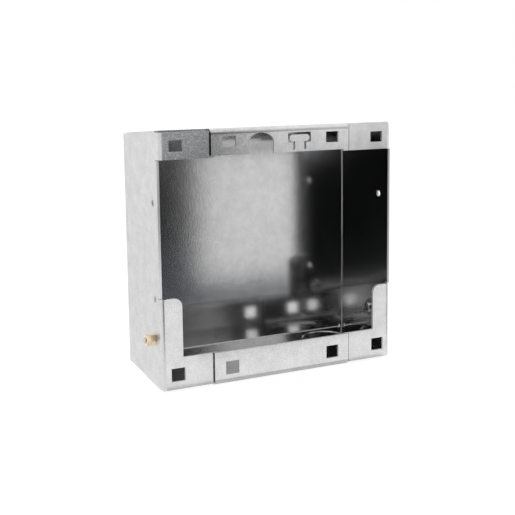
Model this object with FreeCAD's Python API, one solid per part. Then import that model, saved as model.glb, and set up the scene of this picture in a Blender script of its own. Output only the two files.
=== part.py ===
import FreeCAD, Part
import math
import os
from FreeCAD import Vector

# Driving dimensions in mm. The front flange plane is y = FRONT, the box runs back along +Y, the open side
# looks along -Y, z = 0 is the underside of the bottom front bend and x = 0 is the middle of the width.

# Folded sheet
WIDTH = 176.0
DEPTH = 67.5
TOP_CORNER = 170.9
TOP_FALL = 4.7
FLOOR_RISE = 7.6
SHEET = 1.6
BEND = 4.0
BACK_BEND = 2.4
SEAM = 0.2
FRONT = -DEPTH / 2

# Corners of the blank
WALL_CUT = 5.0
EAR = 1.2
RELIEF = 0.6
STUB = 0.4
SIDE_LOW = 0.9
SIDE_STEP_Y = 32.0
SIDE_STEP = 0.6
SLIT = 0.5
BARE_Y = 3.4

# Front flanges
MIDDLE_HALF = 51.6
LAP = 3.0
TOP_EDGE = TOP_CORNER - 17.7
BOTTOM_EDGE = 22.4
TAB_TOP = TOP_CORNER - 1.5
TAB_BOTTOM = TAB_TOP - 17.5
FOOT_BOTTOM = 1.4
LEG_INNER = 73.3
LEG_TOP = {-1: 62.0, 1: 54.5}
LEG_ROUND = 5.5

# Square holes for the cover screws and cage nuts
HOLE_W = 9.7
TOP_HOLE_H = 7.4
BOTTOM_HOLE_H = 9.0
OUTER_TOP_X = 75.4
OUTER_BOTTOM_X = 76.9
MIDDLE_X = 38.7
OUTER_TOP_Z = TOP_CORNER - 10.3
MIDDLE_TOP_Z = TOP_CORNER - 8.9
BOTTOM_Z = 11.1

# Arched cable notch
ARCH_X = -15.3
ARCH_HALF = 9.2
ARCH_SPRING = TOP_CORNER - 10.2
ARCH_RISE = 6.2

# Strap tab, a T left standing in its slot
TAB_X = 13.35
TAB_ROOT = TOP_CORNER - 16.3
SLOT_HALF = 8.75
SLOT_TOP = TAB_ROOT + 11.6
SLOT_STEP = TAB_ROOT + 4.8
STEM_SLOT_HALF = 5.1
BAR_HALF = 7.55
BAR_LOW = TAB_ROOT + 5.5
BAR_HIGH = BAR_LOW + 4.5
STEM_HALF = 3.4

# Knock-out disc, sheared part way out of the floor
DISC_X = 59.9
DISC_Y = 42.8
DISC_R = 19.2
DISC_DROP = 0.5
DISC_BEVEL = 0.6

# Fixing holes in the side walls: depth behind the front, height of the upper one, spacing, by side
FIX_R = 2.25
FIX_Y = {-1: 11.9, 1: 15.2}
FIX_Z = {-1: TOP_CORNER - 47.2, 1: TOP_CORNER - 52.5}
FIX_SPACING = {-1: 63.2, 1: 70.0}

# Earth terminals
EARTH_Y = {-1: 15.0, 1: 25.2}
EARTH_Z = {-1: 33.3, 1: 32.5}
SHANK_R = 2.0
SHANK_L = 10.0
SHANK_BEVEL = 0.5
PASS_R = 2.15
HEAD_R = 4.0
HEAD_H = 2.6
HEAD_ROUND = 1.0
DRIVE_W = 1.2
DRIVE_DEPTH = 1.2
DRIVE_TURN = {-1: 20.0, 1: -28.0}
WASHER_R = 6.0
WASHER_T = 1.0
NUT_AF = 7.0
NUT_T = 3.2
NUT_BORE = 2.06
NUT_MOUTH = 0.3
NUT_FACE = 0.1
NUT_TURN = {"earth_nut": 27.0, "earth_lock_nut": 32.0}

# How far cutting tools run past the metal
OVER = 1.0

HALF = WIDTH / 2
BACK = FRONT + DEPTH
SIDE_START = FRONT + SHEET + BEND + STUB
SLOPE = math.atan2(FLOOR_RISE, DEPTH)
FLOOR_CORNER = -BEND * (math.tan(SLOPE) + 1 / math.cos(SLOPE) - 1)
X_AXIS = Vector(1, 0, 0)


def floor_z(y):
    """Height of the floor's underside: it rises evenly from its front corner to the back."""
    return FLOOR_CORNER + FLOOR_RISE * (y - FRONT) / DEPTH


def top_z(y):
    """Height of the top wall's upper side: it falls evenly from its front corner to the back."""
    return TOP_CORNER - TOP_FALL * (y - FRONT) / DEPTH


def side_z(y):
    """Height of a side wall's lower edge, which rises by as much as the top falls."""
    return SIDE_LOW + TOP_FALL * (y - FRONT) / DEPTH


def in_side_view(a, b):
    """A (y, z) pair as a point of the plane x = 0."""
    return Vector(0, a, b)


def in_plan(side):
    """Maker of points from (x, y) pairs in the plane z = 0, with x counted outward on the given side."""
    return lambda a, b: Vector(side * a, b, 0)


def inward(points, distance):
    """The same open line moved to its left by the distance, with its corners on the bisectors."""
    moved = []
    for (ax, ay), (bx, by) in zip(points, points[1:]):
        length = math.hypot(bx - ax, by - ay)
        nx = -(by - ay) / length * distance
        ny = (bx - ax) / length * distance
        moved.append(((ax + nx, ay + ny), (bx + nx, by + ny)))
    line = [moved[0][0]]
    for (p, q), (r, s) in zip(moved, moved[1:]):
        ux, uy = q[0] - p[0], q[1] - p[1]
        vx, vy = s[0] - r[0], s[1] - r[1]
        k = ((r[0] - p[0]) * vy - (r[1] - p[1]) * vx) / (ux * vy - uy * vx)
        line.append((p[0] + k * ux, p[1] + k * uy))
    line.append(moved[-1][1])
    return line


def rounded(points, radius, place):
    """Edges of an open line with every inner corner replaced by a tangent arc of the radius."""
    edges = []
    start = points[0]
    for a, b, c in zip(points, points[1:], points[2:]):
        la = math.hypot(a[0] - b[0], a[1] - b[1])
        lc = math.hypot(c[0] - b[0], c[1] - b[1])
        u = ((a[0] - b[0]) / la, (a[1] - b[1]) / la)
        v = ((c[0] - b[0]) / lc, (c[1] - b[1]) / lc)
        half = math.acos(u[0] * v[0] + u[1] * v[1]) / 2
        reach = radius / math.tan(half)
        m = (u[0] + v[0], u[1] + v[1])
        lm = math.hypot(m[0], m[1])
        far = radius / math.sin(half) - radius
        first = (b[0] + u[0] * reach, b[1] + u[1] * reach)
        crown = (b[0] + m[0] / lm * far, b[1] + m[1] / lm * far)
        last = (b[0] + v[0] * reach, b[1] + v[1] * reach)
        edges.append(Part.makeLine(place(*start), place(*first)))
        edges.append(Part.Arc(place(*first), place(*crown), place(*last)).toShape())
        start = last
    edges.append(Part.makeLine(place(*start), place(*points[-1])))
    return edges


def sheet(points, bend, place):
    """Face of bent sheet: the outer line with its bend radius, one thickness to its left, and square ends."""
    inner = inward(points, SHEET)
    edges = rounded(points, bend, place) + rounded(inner, bend - SHEET, place)
    edges.append(Part.makeLine(place(*points[0]), place(*inner[0])))
    edges.append(Part.makeLine(place(*points[-1]), place(*inner[-1])))
    return Part.Face(Part.Wire(Part.__sortEdges__(edges)))


def box(x0, x1, y0, y1, z0, z1):
    """Plain block between two opposite corners, given in any order."""
    corner = Vector(min(x0, x1), min(y0, y1), min(z0, z1))
    return Part.makeBox(abs(x1 - x0), abs(y1 - y0), abs(z1 - z0), corner)


def through_front(outline):
    """Prism of an (x, z) outline that passes through both layers of front flange."""
    points = [Vector(x, FRONT - OVER, z) for x, z in outline]
    return Part.Face(Part.makePolygon(points + points[:1])).extrude(Vector(0, 2 * (SHEET + OVER), 0))


def window(x, z, width, height):
    """Punched rectangle in the front flanges, by its centre."""
    w = width / 2
    h = height / 2
    return through_front([(x - w, z - h), (x + w, z - h), (x + w, z + h), (x - w, z + h)])


def channel():
    """Back, floor and top wall as one bent strip, with its four back corners notched for the side bends."""
    y = FRONT + WALL_CUT
    line = [(y, floor_z(y)), (BACK, floor_z(BACK)), (BACK, top_z(BACK)), (y, top_z(y))]
    half = HALF - SHEET - SEAM
    shape = sheet(line, BACK_BEND, in_side_view).extrude(Vector(2 * half, 0, 0))
    shape.translate(Vector(-half, 0, 0))
    ear = HALF - BACK_BEND - EAR
    notch = BACK_BEND + RELIEF
    y0 = BACK - notch
    y1 = BACK + OVER
    for side in (-1, 1):
        shape = shape.cut(box(side * ear, side * HALF, y0, y1, 0, TOP_CORNER))
        for z0, z1 in ((0, floor_z(BACK) + notch), (top_z(BACK) - notch, TOP_CORNER)):
            shape = shape.cut(box(side * (ear - RELIEF), side * ear, y0, y1, z0, z1))
    return shape


def middle_flanges():
    """The two flanges turned in from the floor and the top wall, over the middle of the width."""
    y = FRONT + WALL_CUT
    lower = sheet([(FRONT, BOTTOM_EDGE), (FRONT, FLOOR_CORNER), (y, floor_z(y))], BEND, in_side_view)
    upper = sheet([(y, top_z(y)), (FRONT, TOP_CORNER), (FRONT, TOP_EDGE)], BEND, in_side_view)
    shapes = []
    for face in (lower, upper):
        shape = face.extrude(Vector(2 * MIDDLE_HALF, 0, 0))
        shape.translate(Vector(-MIDDLE_HALF, 0, 0))
        shapes.append(shape)
    return shapes


def side_wall(side):
    """Side wall with its bend into the back, trimmed to the leaning floor and top."""
    step_y = FRONT + SIDE_STEP_Y
    line = [(HALF, SIDE_START), (HALF, BACK), (HALF - BACK_BEND - EAR, BACK)]
    shape = sheet(line, BACK_BEND, in_plan(side)).extrude(Vector(0, 0, TOP_CORNER))
    steps = [(FRONT, 0.0), (step_y, 0.0), (step_y, SIDE_STEP), (BACK, SIDE_STEP)]
    points = [in_side_view(y, side_z(y) + drop) for y, drop in steps]
    points += [in_side_view(y, top_z(y) - drop) for y, drop in reversed(steps)]
    trim = Part.Face(Part.makePolygon(points + points[:1])).extrude(Vector(2 * WIDTH, 0, 0))
    trim.translate(Vector(-WIDTH, 0, 0))
    shape = shape.common(trim)
    z0 = LEG_TOP[side] + SLIT
    z1 = TAB_BOTTOM - SLIT
    bare = box(side * HALF, side * (HALF - SHEET), FRONT + BARE_Y, SIDE_START, z0, z1)
    return [shape, bare]


def side_flanges(side):
    """Tab at the top and L-shaped foot at the bottom, turned in behind the middle flanges."""
    y = FRONT + SHEET
    line = [(MIDDLE_HALF - LAP, y), (HALF, y), (HALF, SIDE_START)]
    face = sheet(line, BEND, in_plan(side))
    tab = face.extrude(Vector(0, 0, TAB_TOP - TAB_BOTTOM))
    tab.translate(Vector(0, 0, TAB_BOTTOM))
    top = LEG_TOP[side]
    foot = face.extrude(Vector(0, 0, top - FOOT_BOTTOM))
    foot.translate(Vector(0, 0, FOOT_BOTTOM))
    y0 = y - OVER
    y1 = y + SHEET + OVER
    foot = foot.cut(box(0, side * LEG_INNER, y0, y1, BOTTOM_EDGE, top + OVER))
    corner = box(side * LEG_INNER, side * (LEG_INNER + LEG_ROUND), y0, y1, top - LEG_ROUND, top + OVER)
    pivot = Vector(side * (LEG_INNER + LEG_ROUND), y0 - OVER, top - LEG_ROUND)
    corner = corner.cut(Part.makeCylinder(LEG_ROUND, y1 - y0 + 2 * OVER, pivot, Vector(0, 1, 0)))
    return [tab, foot.cut(corner)]


def arch():
    """Cable notch open at the flange's lower edge, closed above by half an ellipse."""
    y = FRONT - OVER
    left = Vector(ARCH_X - ARCH_HALF, y, ARCH_SPRING)
    right = Vector(ARCH_X + ARCH_HALF, y, ARCH_SPRING)
    middle = Vector(ARCH_X, y, ARCH_SPRING)
    crown = Part.Ellipse(right, middle + Vector(0, 0, ARCH_RISE), middle).toShape(0, math.pi)
    drop = Vector(0, 0, TOP_EDGE - OVER - ARCH_SPRING)
    sides = [(left, left + drop), (left + drop, right + drop), (right + drop, right)]
    edges = [crown] + [Part.makeLine(a, b) for a, b in sides]
    return Part.Face(Part.Wire(Part.__sortEdges__(edges))).extrude(Vector(0, 2 * (SHEET + OVER), 0))


def tab_slot():
    """Slot around the T-shaped strap tab; the T stays joined to the flange at its root."""
    half = [(SLOT_HALF, SLOT_TOP), (SLOT_HALF, SLOT_STEP)]
    half += [(STEM_SLOT_HALF, SLOT_STEP), (STEM_SLOT_HALF, TAB_ROOT)]
    outline = [(TAB_X + x, z) for x, z in half] + [(TAB_X - x, z) for x, z in reversed(half)]
    slot = through_front(outline)
    r = (BAR_HIGH - BAR_LOW) / 2
    stem_z = (TAB_ROOT + BAR_LOW + r) / 2
    stem = window(TAB_X, stem_z, 2 * STEM_HALF, BAR_LOW + r - TAB_ROOT)
    bar = window(TAB_X, BAR_LOW + r, 2 * (BAR_HALF - r), 2 * r)
    slot = slot.cut(stem).cut(bar)
    for x in (TAB_X - BAR_HALF + r, TAB_X + BAR_HALF - r):
        pivot = Vector(x, FRONT - 2 * OVER, BAR_LOW + r)
        slot = slot.cut(Part.makeCylinder(r, 2 * SHEET + 4 * OVER, pivot, Vector(0, 1, 0)))
    return slot


def knock_out(shape):
    """Disc pressed down out of the floor by DISC_DROP: a dish above it and a boss below it."""
    up = Vector(0, -math.sin(SLOPE), math.cos(SLOPE))
    under = Vector(DISC_X, FRONT + DISC_Y, floor_z(FRONT + DISC_Y))
    inside = under + up * SHEET
    rise = DISC_DROP + OVER
    wide = DISC_R + DISC_BEVEL * rise / DISC_DROP
    dish = Part.makeCone(DISC_R, wide, rise, inside - up * DISC_DROP, up)
    boss = Part.makeCylinder(DISC_R, DISC_DROP + SHEET / 4, under - up * DISC_DROP, up)
    return shape.cut(dish).fuse(boss)


def folded_box():
    """The whole sheet: walls and flanges joined, then pressed and punched."""
    pieces = middle_flanges()
    for side in (-1, 1):
        pieces += side_wall(side) + side_flanges(side)
    shape = channel().multiFuse(pieces).removeSplitter()
    shape = knock_out(shape)
    cuts = [arch(), tab_slot()]
    for side in (-1, 1):
        cuts.append(window(side * OUTER_TOP_X, OUTER_TOP_Z, HOLE_W, TOP_HOLE_H))
        cuts.append(window(side * MIDDLE_X, MIDDLE_TOP_Z, HOLE_W, TOP_HOLE_H))
        cuts.append(window(side * OUTER_BOTTOM_X, BOTTOM_Z, HOLE_W, BOTTOM_HOLE_H))
        cuts.append(window(side * MIDDLE_X, BOTTOM_Z, HOLE_W, BOTTOM_HOLE_H))
        drills = [(PASS_R, EARTH_Y[side], EARTH_Z[side]), (FIX_R, FIX_Y[side], FIX_Z[side])]
        drills.append((FIX_R, FIX_Y[side], FIX_Z[side] - FIX_SPACING[side]))
        for r, y, z in drills:
            start = Vector(side * (HALF - SHEET - OVER), FRONT + y, z)
            cuts.append(Part.makeCylinder(r, SHEET + 2 * OVER, start, Vector(side, 0, 0)))
    for cut in cuts:
        shape = shape.cut(cut)
    return shape.removeSplitter().Solids[0]


def turned(side, profile):
    """Solid of revolution about an earth terminal's axis, from a closed (distance out, radius) outline.

    A step of three pairs is an arc through them; a step of two is a straight line.
    """
    y = FRONT + EARTH_Y[side]
    z = EARTH_Z[side]

    def at(pair):
        return Vector(side * pair[0], y, z + pair[1])

    edges = []
    for step in profile:
        if len(step) == 3:
            edges.append(Part.Arc(at(step[0]), at(step[1]), at(step[2])).toShape())
        else:
            edges.append(Part.makeLine(at(step[0]), at(step[1])))
    face = Part.Face(Part.Wire(Part.__sortEdges__(edges)))
    return face.revolve(Vector(0, y, z), X_AXIS, 360)


def joined(points):
    """Straight steps round a closed outline."""
    return list(zip(points, points[1:] + points[:1]))


def earth_screw(side):
    """Slotted pan-head screw with its head inside the box; the thread is a plain shank."""
    seat = HALF - SHEET - WASHER_T
    face = seat - HEAD_H
    tip = seat + SHANK_L
    r = HEAD_ROUND
    bend = r * (1 - math.sqrt(0.5))
    corner = ((face, HEAD_R - r), (face + bend, HEAD_R - bend), (face + r, HEAD_R))
    line = [(face + r, HEAD_R), (seat, HEAD_R), (seat, SHANK_R), (tip - SHANK_BEVEL, SHANK_R)]
    line += [(tip, SHANK_R - SHANK_BEVEL), (tip, 0.0), (face, 0.0), (face, HEAD_R - r)]
    shape = turned(side, [corner] + list(zip(line, line[1:])))
    y = FRONT + EARTH_Y[side]
    z = EARTH_Z[side]
    w = DRIVE_W / 2
    long = HEAD_R + OVER
    drive = box(side * (face - OVER), side * (face + DRIVE_DEPTH), y - long, y + long, z - w, z + w)
    drive.rotate(Vector(0, y, z), X_AXIS, 90 + DRIVE_TURN[side])
    return shape.cut(drive).Solids[0]


def earth_washer(side):
    """Plain washer between the screw head and the inside of the wall."""
    x1 = HALF - SHEET
    x0 = x1 - WASHER_T
    ring = [(x0, PASS_R), (x0, WASHER_R), (x1, WASHER_R), (x1, PASS_R)]
    return turned(side, joined(ring))


def earth_nut(side, x0, turn):
    """Hexagon nut from distance x0 outward, its corners taken off at 30 degrees on both faces."""
    x1 = x0 + NUT_T
    y = FRONT + EARTH_Y[side]
    z = EARTH_Z[side]
    corner = NUT_AF / math.sqrt(3)
    flat = NUT_AF / 2 - NUT_FACE
    slant = (corner - flat) * math.tan(math.radians(30))
    points = []
    for i in range(6):
        a = math.radians(60 * i + turn)
        points.append(Vector(side * x0, y + corner * math.sin(a), z + corner * math.cos(a)))
    prism = Part.Face(Part.makePolygon(points + points[:1])).extrude(Vector(side * NUT_T, 0, 0))
    mouth = NUT_BORE + NUT_MOUTH
    ring = [(x0, mouth), (x0, flat), (x0 + slant, corner), (x1 - slant, corner), (x1, flat), (x1, mouth)]
    ring += [(x1 - NUT_MOUTH, NUT_BORE), (x0 + NUT_MOUTH, NUT_BORE)]
    return prism.common(turned(side, joined(ring))).Solids[0]


os.makedirs("parts", exist_ok=True)
nodes = {"folded_box": folded_box()}
for side, name in ((-1, "left"), (1, "right")):
    nodes["earth_screw_" + name] = earth_screw(side)
    nodes["earth_washer_" + name] = earth_washer(side).Solids[0]
    nodes["earth_nut_" + name] = earth_nut(side, HALF, NUT_TURN["earth_nut"])
    nodes["earth_lock_nut_" + name] = earth_nut(side, HALF + NUT_T, NUT_TURN["earth_lock_nut"])
for name, shape in nodes.items():
    b = shape.BoundBox
    print(name, "valid", shape.isValid(), "solids", len(shape.Solids), "volume %.1f" % shape.Volume)
    print("  x %.2f %.2f y %.2f %.2f z %.2f %.2f" % (b.XMin, b.XMax, b.YMin, b.YMax, b.ZMin, b.ZMax))
    shape.exportStep("parts/" + name + ".step")
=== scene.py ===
# %% [markdown]
# # A flush back box in bright zinc
#
# The object is an open-fronted box folded from one sheet of zinc-coated steel. Each side wall has an
# earth terminal: a plated screw with two brass nuts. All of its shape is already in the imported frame.
# What is left to Blender is what the eye reads as metal: the coat's finish, the brass, the surroundings
# that both of them mirror, and the place of the camera.

# %% Load the frame
import bpy
import math
import numpy as np
from mathutils import Matrix, Vector


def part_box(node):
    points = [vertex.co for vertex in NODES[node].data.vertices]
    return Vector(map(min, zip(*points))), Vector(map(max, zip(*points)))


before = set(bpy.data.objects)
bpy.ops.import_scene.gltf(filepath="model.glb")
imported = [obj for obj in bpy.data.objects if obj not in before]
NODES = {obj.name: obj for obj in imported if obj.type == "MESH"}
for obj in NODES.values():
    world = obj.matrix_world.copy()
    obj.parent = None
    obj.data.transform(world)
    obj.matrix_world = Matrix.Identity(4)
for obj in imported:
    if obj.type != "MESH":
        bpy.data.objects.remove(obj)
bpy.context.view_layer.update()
MM = 0.001
BOX_LOW, BOX_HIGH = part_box("folded_box")
FRONT_Y = BOX_LOW.y
print("nodes", sorted(NODES))
print("folded sheet, mm", [round(v / MM, 2) for v in BOX_HIGH - BOX_LOW])

# %% [markdown]
# Colours are chosen as sRGB hex values, as a paint chart gives them, while Blender's sockets hold linear
# light. One function turns the first into the second. A second small function adds a node, sets its
# values and links its inputs, so that every material below reads as a list of steps.

# %% Colour and node helpers
RGBA = {"data_type": "RGBA"}


def linear(code):
    """Linear RGBA of an sRGB hex value: below 0.04045 divide by 12.92, above it the 2.4 power curve."""
    channels = [int(code[i:i + 2], 16) / 255 for i in (1, 3, 5)]
    light = [c / 12.92 if c <= 0.04045 else ((c + 0.055) / 1.055) ** 2.4 for c in channels]
    return (*light, 1.0)


def add(tree, kind, settings=(), **inputs):
    """A new node of the kind: settings are its own properties, inputs are values or sockets to link from.

    An input's name has spaces written as underscores; a name such as in0 means the input at that place.
    """
    node = tree.nodes.new(kind)
    for name, value in dict(settings).items():
        setattr(node, name, value)
    for name, value in inputs.items():
        key = int(name[2:]) if name[:2] == "in" and name[2:].isdigit() else name.replace("_", " ")
        if isinstance(value, bpy.types.NodeSocket):
            tree.links.new(value, node.inputs[key])
        else:
            node.inputs[key].default_value = value
    return node


def new_material(name):
    """An empty node material, its tree and its output node."""
    material = bpy.data.materials.new(name)
    material.use_nodes = True
    material.node_tree.nodes.clear()
    return material, material.node_tree, material.node_tree.nodes.new("ShaderNodeOutputMaterial")


print("middle grey in linear light", round(linear("#808080")[0], 3))

# %% [markdown]
# The sheet is mild steel with a bright zinc coat, rolled before it was folded. Its inner side is almost
# a mirror. Its outer side was rubbed in the press: the front flanges are a little duller and the walls
# nearly matt. Which side a point lies on follows from its normal: on the outer side it points away from
# the middle of the box. Roughness then follows from how far the normal turns away from the front.

# %% The sheet's two sides
MIDDLE = (0.0, 0.0, (BOX_LOW.z + BOX_HIGH.z) / 2)
INNER_GLOSS = 0.125
FLANGE_GLOSS = 0.21
WALL_GLOSS = 0.46
TURNED_FROM = 0.1


def sheet_sides(tree, place):
    """Three sockets: 1 on the outer side, the size of the normal's X part, and the roughness.

    A point is on the outer side where its normal times its way from the middle is above zero. Outside,
    roughness rises from the flange's to the wall's with the larger of the normal's X and Z parts.
    """
    normal = add(tree, "ShaderNodeNewGeometry").outputs["Normal"]
    way = add(tree, "ShaderNodeVectorMath", {"operation": "SUBTRACT"}, in0=place, in1=MIDDLE).outputs[0]
    away = add(
        tree, "ShaderNodeVectorMath", {"operation": "DOT_PRODUCT"}, in0=normal, in1=way).outputs["Value"]
    outer = add(tree, "ShaderNodeMath", {"operation": "GREATER_THAN"}, in0=away, in1=0.0).outputs[0]
    facing = add(tree, "ShaderNodeSeparateXYZ", Vector=normal).outputs
    sideways = add(tree, "ShaderNodeMath", {"operation": "ABSOLUTE"}, in0=facing["X"]).outputs[0]
    level = add(tree, "ShaderNodeMath", {"operation": "ABSOLUTE"}, in0=facing["Z"]).outputs[0]
    off_front = add(tree, "ShaderNodeMath", {"operation": "MAXIMUM"}, in0=sideways, in1=level).outputs[0]
    dull = add(
        tree, "ShaderNodeMapRange", Value=off_front, From_Min=TURNED_FROM, From_Max=1.0,
        To_Min=FLANGE_GLOSS, To_Max=WALL_GLOSS).outputs[0]
    gloss = add(tree, "ShaderNodeMix", Factor=outer, A=INNER_GLOSS, B=dull).outputs[0]
    return outer, sideways, gloss


# %% [markdown]
# Rolling leaves fine lines in the sheet, which break a mirrored edge into short streaks. The real lines
# are finer than a pixel of the render, so they are drawn about a millimetre wide to show, as a very
# shallow bump.

# %% Rolling grain
GRAIN_ACROSS = 1.1 * MM
GRAIN_ALONG = 2.4 * MM
GRAIN_DEEP = 0.009 * MM
SIDE_WALL = 0.8


def rolling_grain(tree, place, sideways):
    """Bump from noise stretched along the lines, which run upright on the back and on the side walls."""
    wall = add(
        tree, "ShaderNodeMath", {"operation": "GREATER_THAN"}, in0=sideways, in1=SIDE_WALL).outputs[0]
    across = 1 / GRAIN_ACROSS
    along = 1 / GRAIN_ALONG
    heights = []
    for scale in ((across, along, along), (along, across, along)):
        stretched = add(tree, "ShaderNodeMapping", Vector=place, Scale=scale).outputs[0]
        noise = add(tree, "ShaderNodeTexNoise", Vector=stretched, Scale=1.0, Detail=1.0, Roughness=0.6)
        heights.append(noise.outputs[0])
    height = add(tree, "ShaderNodeMix", Factor=wall, A=heights[0], B=heights[1]).outputs[0]
    return add(tree, "ShaderNodeBump", Strength=1.0, Distance=GRAIN_DEEP, Height=height).outputs[0]


# %% [markdown]
# Zinc is a light, neutral grey. Its tone drifts in soft clouds about a centimetre wide, with specks
# finer than a millimetre. Two marks are particular to this box: a thin darker line beside the right lap
# of the front flanges is painted shade for the gap there, and the top left flange is mottled where it
# was handled.

# %% Tone of the coat
CLOUD = 9.0 * MM
SPECK = 0.7 * MM
CLOUD_RANGE = (0.6, 1.4)
FLANGE_FACE = 1.62 * MM
LAP_AT = 51.6 * MM
SHADE_LINE_BESIDE = 1.4 * MM
SHADE_LINE_WIDE = 0.6 * MM
TAB_FROM = 140.0 * MM
TAB_FADE = 5.0 * MM
MOTTLE = 0.9 * MM
MOTTLE_RANGE = (0.35, 0.65)


def cloudy_tone(tree, place, outer):
    """Colour between two greys by the sum of a coarse and a fine noise, with a lighter pair outside."""
    cloud = add(
        tree, "ShaderNodeTexNoise", Vector=place, Scale=1 / CLOUD, Detail=4.0, Roughness=0.7).outputs[0]
    speck = add(tree, "ShaderNodeTexNoise", Vector=place, Scale=1 / SPECK, Detail=1.0).outputs[0]
    both = add(tree, "ShaderNodeMath", {"operation": "ADD"}, in0=cloud, in1=speck).outputs[0]
    both = add(
        tree, "ShaderNodeMapRange", Value=both,
        From_Min=CLOUD_RANGE[0], From_Max=CLOUD_RANGE[1]).outputs[0]
    tones = []
    for dark, light in (("#D0D0D0", "#ECECEC"), ("#D4D4D4", "#F6F6F6")):
        pair = add(tree, "ShaderNodeMix", RGBA, Factor=both, in6=linear(dark), in7=linear(light))
        tones.append(pair.outputs[2])
    return add(tree, "ShaderNodeMix", RGBA, Factor=outer, in6=tones[0], in7=tones[1]).outputs[2]


def marked_tone(tree, place, tone):
    """The tone with its two marks, both only within one sheet of the front.

    Painted shade is a darker strip at a set X, for the gap beside the right lap. The mottling is a noise
    multiplied in above a set height, and it fades in from near the middle to the left lap.
    """
    spot = add(tree, "ShaderNodeSeparateXYZ", Vector=place).outputs
    ahead = add(
        tree, "ShaderNodeMath", {"operation": "LESS_THAN"},
        in0=spot["Y"], in1=FRONT_Y + FLANGE_FACE).outputs[0]
    beside = add(
        tree, "ShaderNodeMath", {"operation": "COMPARE"},
        in0=spot["X"], in1=LAP_AT + SHADE_LINE_BESIDE, in2=SHADE_LINE_WIDE / 2).outputs[0]
    # Painted shade: a darker line beside the right lap stands for the shadow in the gap there.
    painted_lap_line = add(tree, "ShaderNodeMath", {"operation": "MULTIPLY"}, in0=beside, in1=ahead).outputs[0]
    tone = add(tree, "ShaderNodeMix", RGBA, Factor=painted_lap_line, in6=tone, in7=linear("#A4A4A4")).outputs[2]
    high_up = add(
        tree, "ShaderNodeMath", {"operation": "GREATER_THAN"}, in0=spot["Z"], in1=TAB_FROM).outputs[0]
    leftwards = add(
        tree, "ShaderNodeMapRange", Value=spot["X"], From_Min=-TAB_FADE, From_Max=-LAP_AT).outputs[0]
    handled = add(tree, "ShaderNodeMath", {"operation": "MULTIPLY"}, in0=high_up, in1=leftwards).outputs[0]
    handled = add(tree, "ShaderNodeMath", {"operation": "MULTIPLY"}, in0=handled, in1=ahead).outputs[0]
    mottle = add(
        tree, "ShaderNodeTexNoise", Vector=place, Scale=1 / MOTTLE, Detail=2.0, Roughness=0.6).outputs[0]
    mottle = add(
        tree, "ShaderNodeMapRange", Value=mottle,
        From_Min=MOTTLE_RANGE[0], From_Max=MOTTLE_RANGE[1]).outputs[0]
    spots = add(
        tree, "ShaderNodeMix", RGBA, Factor=mottle, in6=linear("#CECED0"), in7=linear("#FFFFFF")).outputs[2]
    return add(
        tree, "ShaderNodeMix", {"data_type": "RGBA", "blend_type": "MULTIPLY"},
        Factor=handled, in6=tone, in7=spots).outputs[2]


# %% Bright zinc coat
def zinc_coat():
    """Bright zinc on rolled steel: almost a mirror inside, duller outside, with rolling grain as bump."""
    material, tree, out = new_material("bright_zinc_coat")
    place = add(tree, "ShaderNodeTexCoord").outputs["Object"]
    outer, sideways, gloss = sheet_sides(tree, place)
    bump = rolling_grain(tree, place, sideways)
    tone = marked_tone(tree, place, cloudy_tone(tree, place, outer))
    shader = add(
        tree, "ShaderNodeBsdfPrincipled", Base_Color=tone, Metallic=1.0, Roughness=gloss, Normal=bump)
    tree.links.new(shader.outputs[0], out.inputs["Surface"])
    return material


ZINC = zinc_coat()
print("zinc coat,", len(ZINC.node_tree.nodes), "nodes")

# %% [markdown]
# Where the sheet was sheared or punched, its edge is torn and dull, and scatters light. The edges in the
# laps of the front flanges are dark grey: painted shade for the gap at each lap. The terminals are M4
# screws with washers, zinc plated, and brass nuts. Brass keeps its yellow in the reflection itself, so
# the colour is the metal's base colour. These finishes are one plain metal each, with a little
# unevenness in the gloss.

# %% Edges and hardware
EDGE_PATCH = 1.5 * MM
HARDWARE_PATCH = 0.8 * MM


def plain_metal(name, colour, gloss, uneven, size):
    """One metal: its colour, its roughness plus or minus the unevenness, and the size of the patches."""
    material, tree, out = new_material(name)
    place = add(tree, "ShaderNodeTexCoord").outputs["Object"]
    patches = add(tree, "ShaderNodeTexNoise", Vector=place, Scale=1 / size, Detail=2.0).outputs[0]
    rough = add(
        tree, "ShaderNodeMapRange", Value=patches, To_Min=gloss - uneven, To_Max=gloss + uneven).outputs[0]
    shader = add(
        tree, "ShaderNodeBsdfPrincipled", Base_Color=linear(colour), Metallic=1.0, Roughness=rough)
    tree.links.new(shader.outputs[0], out.inputs["Surface"])
    return material


EDGE = plain_metal("sheared_steel_edge", "#F4F4F4", gloss=0.9, uneven=0.08, size=EDGE_PATCH)
# Painted shade: the dark grey of the lapped edges stands for the shadow in the gap at each lap.
SHADED_LAP_EDGE = plain_metal("lap_edge_painted_shade", "#4A4A4A", gloss=0.6, uneven=0.1, size=EDGE_PATCH)
STEEL = plain_metal("zinc_plated_steel", "#CFCFCD", gloss=0.22, uneven=0.06, size=HARDWARE_PATCH)
BRASS = plain_metal("turned_brass", "#FBE7C6", gloss=0.2, uneven=0.06, size=HARDWARE_PATCH)
print("plain metals", [metal.name for metal in (EDGE, SHADED_LAP_EDGE, STEEL, BRASS)])

# %% [markdown]
# The CAD nodes arrive as loose triangles with flat shading, which a mirror finish would show as facets
# along each bend. Welding the corners, splitting the real edges again and weighting the normals by face
# size gives flat walls that stay flat and bends that run smoothly into them. No vertex of the frame
# moves. On the sheet, a triangle gets the edge finish if it crosses the thickness of a flange or a side
# wall.

# %% Dress the CAD nodes
SHARP_EDGE = math.radians(28)
SAME_CORNER = 0.0005 * MM
FACE_WEIGHT = 100
SHEET = 1.6 * MM
BEND = 4.0 * MM
SKIN = 0.05 * MM
EDGE_ON = 0.3
LAP_FACING = 0.7
LAP_REACH = 1.0 * MM


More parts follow.
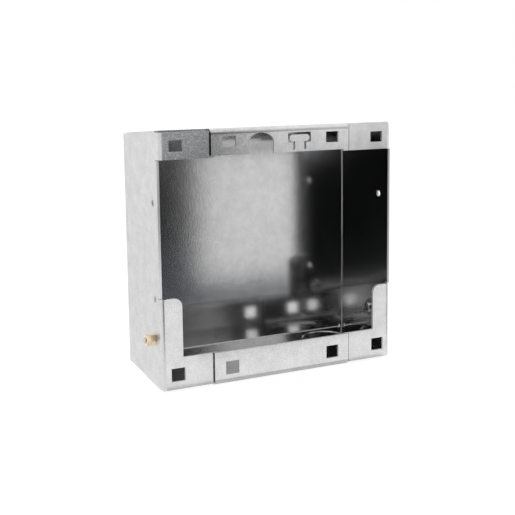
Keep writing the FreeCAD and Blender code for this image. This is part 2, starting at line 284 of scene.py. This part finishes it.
def dress(node, *finishes):
    """Gives a CAD node its finishes, and smooth bends by modifiers alone."""
    node.data.materials.clear()
    for finish in finishes:
        node.data.materials.append(finish)
    node.data.polygons.foreach_set("use_smooth", np.ones(len(node.data.polygons), bool))
    node.data.update()
    weld = node.modifiers.new("join_corners", "WELD")
    weld.merge_threshold = SAME_CORNER
    split = node.modifiers.new("real_edges", "EDGE_SPLIT")
    split.split_angle = SHARP_EDGE
    flat = node.modifiers.new("flat_walls", "WEIGHTED_NORMAL")
    flat.weight = FACE_WEIGHT
    flat.keep_sharp = True


def edge_kind(node):
    """For each triangle 0 on the sheet's faces, 1 on a sheared edge, 2 on a lapped one.

    A sheared edge lies within a flange's layers or a side wall, and its normal runs along that sheet. A
    lapped one is a sheared edge of a flange that faces sideways and lies at the lap.
    """
    count = len(node.data.polygons)
    centre = np.empty(count * 3)
    normal = np.empty(count * 3)
    node.data.polygons.foreach_get("center", centre)
    node.data.polygons.foreach_get("normal", normal)
    x, y, z = centre.reshape(-1, 3).T
    nx, ny, nz = np.abs(normal.reshape(-1, 3).T)
    half = BOX_HIGH.x
    in_flange = (y < FRONT_Y + 2 * SHEET + SKIN) & (np.abs(x) < half - BEND - SKIN)
    in_flange &= (z > BEND + SKIN) & (z < BOX_HIGH.z - BEND - SKIN) & (ny < EDGE_ON)
    in_wall = (np.abs(x) > half - SHEET - SKIN) & (nx < EDGE_ON) & (z > BEND) & (z < BOX_HIGH.z - BEND)
    # Lapped edges take the dark grey finish, painted shade for the gap at the lap.
    lapped = in_flange & (nx > LAP_FACING) & (np.abs(np.abs(x) - LAP_AT) < LAP_REACH)
    return np.where(lapped, 2, np.where(in_flange | in_wall, 1, 0))


BOX = NODES["folded_box"]
dress(BOX, ZINC, EDGE, SHADED_LAP_EDGE)
kinds = edge_kind(BOX)
BOX.data.polygons.foreach_set("material_index", kinds.astype(np.int32))
BOX.data.update()
for name, node in NODES.items():
    if name != "folded_box":
        dress(node, BRASS if "nut" in name else STEEL)
print("dressed", len(NODES), "nodes")
print("triangles of sheet, sheared edge, lapped edge", np.bincount(kinds).tolist())

# %% [markdown]
# A mirror shows its surroundings, so they are part of the finish. The box stands in a bright room, white
# behind it, above it and to both sides. The camera's side in front is dark, and that is what the right
# wall and the right of the back wall show. The ground ahead is a very dark grey, lighter to the right.
# The world is painted by direction, fixed to the room, and the camera itself sees plain white.

# %% The room
DARK_LEFT = math.radians(-62)
DARK_RIGHT = math.radians(58)
DARK_SOFT = 0.12
WHITE_ABOVE = 0.85
DARK_BELOW = 0.5
GROUND_FROM = -0.16
GROUND_FULL = -0.21
GROUND_LEFT = -0.1
GROUND_RIGHT = 0.3


def room():
    """World colour by direction: white, dark in a sector ahead up to half height, plain to the camera.

    A direction is in the sector where the cosine of its angle from the sector's middle is above the limit.
    Heights and sides are the Z and X parts of the direction.
    """
    world = bpy.data.worlds.new("bright_room")
    bpy.context.scene.world = world
    world.use_nodes = True
    tree = world.node_tree
    tree.nodes.clear()
    out = tree.nodes.new("ShaderNodeOutputWorld")
    way = add(tree, "ShaderNodeTexCoord").outputs["Generated"]
    flat = add(
        tree, "ShaderNodeVectorMath", {"operation": "MULTIPLY"}, in0=way, in1=(1.0, 1.0, 0.0)).outputs[0]
    flat = add(tree, "ShaderNodeVectorMath", {"operation": "NORMALIZE"}, in0=flat).outputs[0]
    centre = (DARK_LEFT + DARK_RIGHT) / 2
    ahead = (math.sin(centre), -math.cos(centre), 0.0)
    near = add(
        tree, "ShaderNodeVectorMath", {"operation": "DOT_PRODUCT"}, in0=flat, in1=ahead).outputs["Value"]
    limit = math.cos((DARK_RIGHT - DARK_LEFT) / 2)
    dark = add(
        tree, "ShaderNodeMapRange", {"interpolation_type": "SMOOTHSTEP"},
        Value=near, From_Min=limit - DARK_SOFT, From_Max=limit + DARK_SOFT).outputs[0]
    parts = add(tree, "ShaderNodeSeparateXYZ", Vector=way).outputs
    low = add(
        tree, "ShaderNodeMapRange", {"interpolation_type": "SMOOTHSTEP"},
        Value=parts["Z"], From_Min=WHITE_ABOVE, From_Max=DARK_BELOW).outputs[0]
    dark = add(tree, "ShaderNodeMath", {"operation": "MULTIPLY"}, in0=dark, in1=low).outputs[0]
    ground = add(
        tree, "ShaderNodeMapRange", Value=parts["Z"], From_Min=GROUND_FROM, From_Max=GROUND_FULL).outputs[0]
    rightwards = add(
        tree, "ShaderNodeMapRange", Value=parts["X"],
        From_Min=GROUND_LEFT, From_Max=GROUND_RIGHT).outputs[0]
    floor_shade = add(
        tree, "ShaderNodeMix", RGBA, Factor=rightwards,
        in6=linear("#0C0D0F"), in7=linear("#484C52")).outputs[2]
    shade = add(
        tree, "ShaderNodeMix", RGBA, Factor=ground, in6=linear("#000000"), in7=floor_shade).outputs[2]
    colour = add(tree, "ShaderNodeMix", RGBA, Factor=dark, in6=linear("#FAFAFA"), in7=shade).outputs[2]
    path = add(tree, "ShaderNodeLightPath").outputs["Is Camera Ray"]
    seen = add(tree, "ShaderNodeMix", RGBA, Factor=path, in6=colour, in7=linear("#FFFFFF")).outputs[2]
    background = add(tree, "ShaderNodeBackground", Color=seen, Strength=1.0)
    tree.links.new(background.outputs[0], out.inputs["Surface"])


room()
print("dark sector ahead, degrees", round(math.degrees(DARK_RIGHT - DARK_LEFT)))

# %% [markdown]
# In a studio, what a mirror shows is shaped with cards around the object: white ones as reflectors,
# black ones as flags. Only reflections see them here, and none stands inside the box, so its walls
# mirror each other as real ones do. White paper lies under the box and reaches a hand's breadth in front
# of it. Upright reflectors just ahead light the legs and the bends beside them. A white panel stands
# nearly a metre ahead, on the right: its left border is the soft ramp on the left of the back wall, and
# its lower border the darker band above the floor. A narrow flag sets the right border of its mirror
# image, and a low one takes some light from the arch. A grey card dims the left of the top flange.

# %% Card helpers
def card(name, corners, colour):
    """One flat card that only reflections see, from its four corners, glowing in its own colour."""
    material, tree, out = new_material(name)
    light = add(tree, "ShaderNodeEmission", Color=linear(colour), Strength=1.0)
    tree.links.new(light.outputs[0], out.inputs["Surface"])
    mesh = bpy.data.meshes.new(name)
    mesh.from_pydata(corners, [], [(0, 1, 2, 3)])
    mesh.materials.append(material)
    piece = bpy.data.objects.new(name, mesh)
    bpy.context.scene.collection.objects.link(piece)
    for sense in ("camera", "diffuse", "transmission", "volume_scatter", "shadow"):
        setattr(piece, "visible_" + sense, False)
    return piece


def front(distance):
    """Place in front of the flanges as a Y value."""
    return FRONT_Y - distance


def flat_card(name, colour, half, near, far, z):
    """A card lying on the table, as wide to the left as to the right, from its near Y to its far Y."""
    return card(name, [(-half, near, z), (half, near, z), (half, far, z), (-half, far, z)], colour)


def upright_card(name, colour, ahead, across, up):
    """A card standing across the view: its distance ahead, and its spans in X and Z, all in millimetres."""
    y = front(ahead * MM)
    (x0, x1), (z0, z1) = np.array([across, up]) * MM
    return card(name, [(x0, y, z0), (x1, y, z0), (x1, y, z1), (x0, y, z1)], colour)


# %% Cards
PAPER_HALF = 2.0
PAPER_EDGE = 84.0 * MM
PAPER_Z = -0.5 * MM
STRIP_HALF = 86.0 * MM
STRIP_AHEAD = 9.0 * MM
STRIP_UNDER = 3.0 * MM
STRIP_Z = -0.4 * MM
NEAR = 20.0
NARROW_FLAG = 100.0
FLAG = 300.0
PANEL = 911.0
STRIP = PANEL - 5.0
PANEL_LEFT = 378.0
PANEL_RIGHT = 3000.0
UPPER_LEFT = PANEL_LEFT + 70.0
CARDS = [
    flat_card("white_paper", "#F5F5F5", PAPER_HALF, front(PAPER_EDGE), PAPER_HALF, PAPER_Z),
    # Painted shadow: a grey strip on the paper along the box's front stands for the box's shadow there, as
    # the bottom bend mirrors it.
    flat_card("paper_shadow_strip", "#C4C4C4", STRIP_HALF, front(STRIP_AHEAD), front(-STRIP_UNDER), STRIP_Z),
    upright_card("left_reflector", "#F0F0F0", ahead=NEAR, across=(-98, -54), up=(10, 92)),
    upright_card("right_reflector", "#F0F0F0", ahead=NEAR, across=(85, 110), up=(10, 50)),
    upright_card("right_bend_card", "#B0B0B0", ahead=NEAR, across=(110, 220), up=(0, 60)),
    upright_card("bend_reflector", "#E4E4E4", ahead=NEAR, across=(-150, -86), up=(140, 176)),
    upright_card("white_panel", "#E4E4E4", ahead=PANEL, across=(PANEL_LEFT, PANEL_RIGHT), up=(-180, 300)),
    upright_card("panel_strip", "#FAFAFA", ahead=STRIP, across=(PANEL_LEFT, 640), up=(60, 320)),
    upright_card("upper_panel", "#C8C8C8", ahead=PANEL, across=(UPPER_LEFT, PANEL_RIGHT), up=(300, 1500)),
    upright_card("grey_card", "#B8B9BC", ahead=FLAG, across=(-105, 67), up=(110, 180)),
    upright_card("top_flag", "#303032", ahead=FLAG, across=(67, 420), up=(115.5, 125.8)),
    upright_card("right_flag", "#060608", ahead=NARROW_FLAG, across=(135.5, 152), up=(8, 139)),
]
print("cards around the box", len(CARDS))

# %% [markdown]
# The table itself is for the camera: white and plain, with the faint shadow of the box.

# %% The table
TABLE_HALF = 3.0
TABLE_GLOW = 0.87


def table():
    """One square of white table at height zero under the box; most of its white is its own glow."""
    material, tree, out = new_material("white_table")
    white = add(tree, "ShaderNodeBsdfDiffuse", Color=linear("#8A8A8A"))
    glow = add(tree, "ShaderNodeEmission", Color=linear("#FFFFFF"), Strength=TABLE_GLOW)
    paper = add(tree, "ShaderNodeAddShader", in0=white.outputs[0], in1=glow.outputs[0])
    tree.links.new(paper.outputs[0], out.inputs["Surface"])
    corners = np.array([(-1, -1, 0), (1, -1, 0), (1, 1, 0), (-1, 1, 0)]) * TABLE_HALF
    mesh = bpy.data.meshes.new("table")
    mesh.from_pydata(corners.tolist(), [], [(0, 1, 2, 3)])
    mesh.materials.append(material)
    piece = bpy.data.objects.new("table", mesh)
    bpy.context.scene.collection.objects.link(piece)
    piece.visible_glossy = False
    return piece


TABLE = table()
print("table", TABLE_HALF * 2, "m square")

# %% [markdown]
# The picture is taken from the left and a little above with a longish lens. The numbers come from
# fitting the box's straight edges and holes to the photograph: focal length in pixels, turn to the
# right, tilt down, a small roll of the camera, and how far above the middle of the cropped picture the
# lens axis meets it.

# %% Camera
IMAGE_PX = 515
FOCAL_PX = 990.87
AXIS_UP_PX = 47.87
TURN = math.radians(26.4208)
TILT = math.radians(8.0208)
ROLL = math.radians(-0.6698)
STAND = Vector((-308.21 * MM, FRONT_Y - 582.39 * MM, 207.64 * MM))
SENSOR_MM = 36.0
CLIP_NEAR = 0.01
CLIP_FAR = 50.0


def camera():
    """A camera from turn, tilt and roll.

    Its view line turns from +Y towards +X, tilts down, then rolls about itself. The lens in millimetres is
    the focal length in pixels times the sensor's width over the picture's.
    """
    data = bpy.data.cameras.new("camera")
    data.sensor_width = SENSOR_MM
    data.lens = FOCAL_PX * SENSOR_MM / IMAGE_PX
    data.shift_y = -AXIS_UP_PX / IMAGE_PX
    data.clip_start = CLIP_NEAR
    data.clip_end = CLIP_FAR
    piece = bpy.data.objects.new("camera", data)
    bpy.context.scene.collection.objects.link(piece)
    ahead = Vector((math.sin(TURN) * math.cos(TILT), math.cos(TURN) * math.cos(TILT), -math.sin(TILT)))
    level = Vector((math.cos(TURN), -math.sin(TURN), 0.0))
    upright = level.cross(ahead)
    right = level * math.cos(ROLL) + upright * math.sin(ROLL)
    up = upright * math.cos(ROLL) - level * math.sin(ROLL)
    piece.matrix_world = Matrix((
        (right.x, up.x, -ahead.x, STAND.x),
        (right.y, up.y, -ahead.y, STAND.y),
        (right.z, up.z, -ahead.z, STAND.z),
        (0, 0, 0, 1)))
    bpy.context.scene.camera = piece
    return piece


CAMERA = camera()
bpy.context.scene.view_settings.view_transform = "Standard"
print("lens", round(CAMERA.data.lens, 2), "mm")
